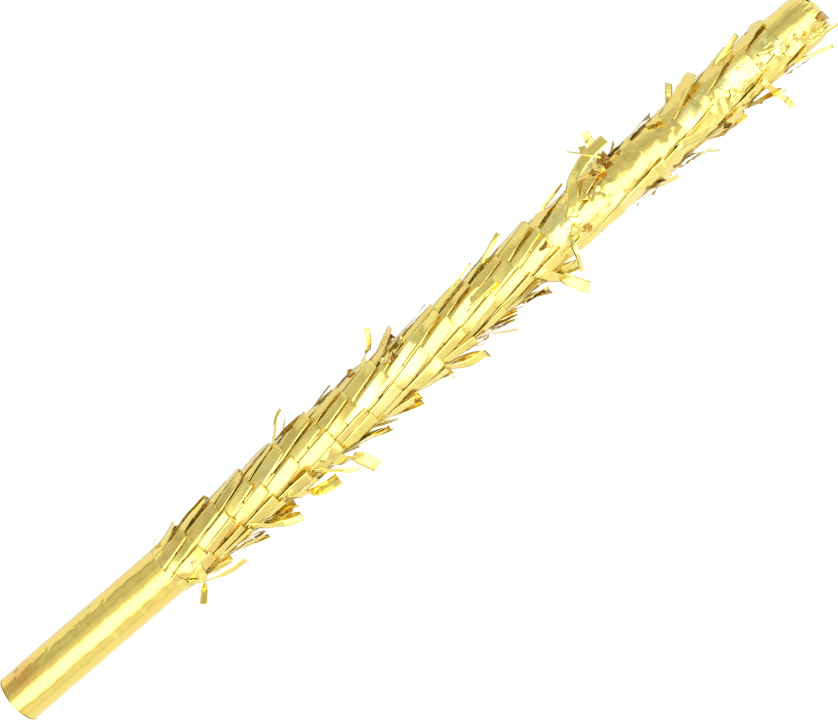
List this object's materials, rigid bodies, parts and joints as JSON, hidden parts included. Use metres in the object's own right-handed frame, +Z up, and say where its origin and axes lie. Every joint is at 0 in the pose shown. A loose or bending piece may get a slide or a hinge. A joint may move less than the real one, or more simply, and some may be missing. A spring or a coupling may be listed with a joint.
{
  "type": "foil-fringed pinata stick",
  "caption": "Straight paper-tube party stick with a smooth gold-film handle, a helical slit gold-film fringe over the rest and a rounded gathered tip.",
  "frame": {"origin": "centre of the butt's end face, on the stick's axis", "axes": "+X along the stick from the butt to the rounded tip, +Z up with the stick lying level"},
  "size_m": [0.7129, 0.0931, 0.059],
  "materials": {
    "gold_film": "mirror-bright metallised film, lightly wrinkled",
    "fringe_film": "mirror-bright metallised film with fine embossed grain and creases",
    "paper_board": "plain spiral-wound paper board"
  },
  "bodies": {
    "stick": {"core_tube": "paper_board", "butt_plug": "paper_board", "tip_plug": "paper_board", "handle_wrap": "gold_film", "butt_disc": "gold_film", "body_wrap": "gold_film", "tip_cap": "gold_film", "lower_fringe_turn_01": "fringe_film", "lower_fringe_turn_02": "fringe_film", "lower_fringe_turn_03": "fringe_film", "lower_fringe_turn_04": "fringe_film", "lower_fringe_turn_05": "fringe_film", "lower_fringe_turn_06": "fringe_film", "lower_fringe_turn_07": "fringe_film", "lower_fringe_turn_08": "fringe_film", "lower_fringe_turn_09": "fringe_film", "lower_fringe_turn_10": "fringe_film", "lower_fringe_turn_11": "fringe_film", "lower_fringe_turn_12": "fringe_film", "upper_fringe_turn_01": "fringe_film", "upper_fringe_turn_02": "fringe_film", "upper_fringe_turn_03": "fringe_film", "upper_fringe_turn_04": "fringe_film", "upper_fringe_turn_05": "fringe_film", "upper_fringe_turn_06": "fringe_film", "upper_fringe_turn_07": "fringe_film"},
    "strip_01": {"loose_strip_01": "fringe_film"},
    "strip_02": {"loose_strip_02": "fringe_film"},
    "strip_03": {"loose_strip_03": "fringe_film"},
    "strip_04": {"loose_strip_04": "fringe_film"},
    "strip_05": {"loose_strip_05": "fringe_film"},
    "strip_06": {"loose_strip_06": "fringe_film"},
    "strip_07": {"loose_strip_07": "fringe_film"},
    "strip_08": {"loose_strip_08": "fringe_film"},
    "strip_09": {"loose_strip_09": "fringe_film"},
    "strip_10": {"loose_strip_10": "fringe_film"},
    "strip_11": {"loose_strip_11": "fringe_film"},
    "strip_12": {"loose_strip_12": "fringe_film"},
    "strip_13": {"loose_strip_13": "fringe_film"},
    "strip_14": {"loose_strip_14": "fringe_film"},
    "strip_15": {"loose_strip_15": "fringe_film"},
    "strip_16": {"loose_strip_16": "fringe_film"},
    "strip_17": {"loose_strip_17": "fringe_film"},
    "strip_18": {"loose_strip_18": "fringe_film"}
  },
  "joints": [
    {"name": "strip_01_crease", "type": "hinge", "parent": "stick", "child": "strip_01", "pos_m": [0.148, -0.0234, 0.00852], "axis": [0, -0.342, -0.9397], "range_deg": [-128, 22], "stiffness_Nm_per_rad": 0.00012},
    {"name": "strip_02_crease", "type": "hinge", "parent": "stick", "child": "strip_02", "pos_m": [0.154, -0.02466, -0.00347], "axis": [0, 0.1392, -0.9903], "range_deg": [-10, 126], "stiffness_Nm_per_rad": 0.00012},
    {"name": "strip_03_crease", "type": "hinge", "parent": "stick", "child": "strip_03", "pos_m": [0.21, -0.02476, 0.0026], "axis": [0, -0.1045, -0.9945], "range_deg": [-24, 114], "stiffness_Nm_per_rad": 0.00012},
    {"name": "strip_04_crease", "type": "hinge", "parent": "stick", "child": "strip_04", "pos_m": [0.243, -0.02476, -0.0026], "axis": [0, 0.1045, -0.9945], "range_deg": [-13, 123], "stiffness_Nm_per_rad": 0.00012},
    {"name": "strip_05_crease", "type": "hinge", "parent": "stick", "child": "strip_05", "pos_m": [0.266, -0.02436, 0.00518], "axis": [0, -0.2079, -0.9781], "range_deg": [-35, 98], "stiffness_Nm_per_rad": 0.00012},
    {"name": "strip_06_crease", "type": "hinge", "parent": "stick", "child": "strip_06", "pos_m": [0.279, -0.02394, -0.00686], "axis": [0, 0.2756, -0.9613], "range_deg": [-62, 48], "stiffness_Nm_per_rad": 0.00012},
    {"name": "strip_07_crease", "type": "hinge", "parent": "stick", "child": "strip_07", "pos_m": [0.374, -0.02489, 0.00087], "axis": [0, -0.0349, -0.9994], "range_deg": [-11, 122], "stiffness_Nm_per_rad": 0.00012},
    {"name": "strip_08_crease", "type": "hinge", "parent": "stick", "child": "strip_08", "pos_m": [0.465, -0.02484, -0.00174], "axis": [0, 0.0698, -0.9976], "range_deg": [-61, 72], "stiffness_Nm_per_rad": 0.00012},
    {"name": "strip_09_crease", "type": "hinge", "parent": "stick", "child": "strip_09", "pos_m": [0.655, -0.02484, 0.00174], "axis": [0, -0.0698, -0.9976], "range_deg": [-72, 78], "stiffness_Nm_per_rad": 0.00012},
    {"name": "strip_10_crease", "type": "hinge", "parent": "stick", "child": "strip_10", "pos_m": [0.251, 0.02484, 0.00174], "axis": [0, -0.0698, 0.9976], "range_deg": [-33, 92], "stiffness_Nm_per_rad": 0.00012},
    {"name": "strip_11_crease", "type": "hinge", "parent": "stick", "child": "strip_11", "pos_m": [0.334, 0.02476, -0.0026], "axis": [0, 0.1045, 0.9945], "range_deg": [-44, 106], "stiffness_Nm_per_rad": 0.00012},
    {"name": "strip_12_crease", "type": "hinge", "parent": "stick", "child": "strip_12", "pos_m": [0.516, 0.02275, 0.01013], "axis": [0, -0.4067, 0.9135], "range_deg": [-11, 96], "stiffness_Nm_per_rad": 0.00012},
    {"name": "strip_13_crease", "type": "hinge", "parent": "stick", "child": "strip_13", "pos_m": [0.537, 0.02489, 0.00087], "axis": [0, -0.0349, 0.9994], "range_deg": [-80, 60], "stiffness_Nm_per_rad": 0.00012},
    {"name": "strip_14_crease", "type": "hinge", "parent": "stick", "child": "strip_14", "pos_m": [0.528, 0.02309, -0.00933], "axis": [0, 0.3746, 0.9272], "range_deg": [-52, 73], "stiffness_Nm_per_rad": 0.00012},
    {"name": "strip_15_crease", "type": "hinge", "parent": "stick", "child": "strip_15", "pos_m": [0.412, 0.00347, 0.02466], "axis": [0, -0.9903, 0.1392], "range_deg": [-22, 120], "stiffness_Nm_per_rad": 0.00012},
    {"name": "strip_16_crease", "type": "hinge", "parent": "stick", "child": "strip_16", "pos_m": [0.59, -0.01169, 0.02199], "axis": [0, -0.8829, -0.4695], "range_deg": [-17, 124], "stiffness_Nm_per_rad": 0.00012},
    {"name": "strip_17_crease", "type": "hinge", "parent": "stick", "child": "strip_17", "pos_m": [0.305, -0.0185, -0.01666], "axis": [0, 0.6691, -0.7431], "range_deg": [-33, 110], "stiffness_Nm_per_rad": 0.00012},
    {"name": "strip_18_crease", "type": "hinge", "parent": "stick", "child": "strip_18", "pos_m": [0.6, 0.01962, -0.01533], "axis": [0, 0.6157, 0.788], "range_deg": [-46, 104], "stiffness_Nm_per_rad": 0.00012}
  ]
}
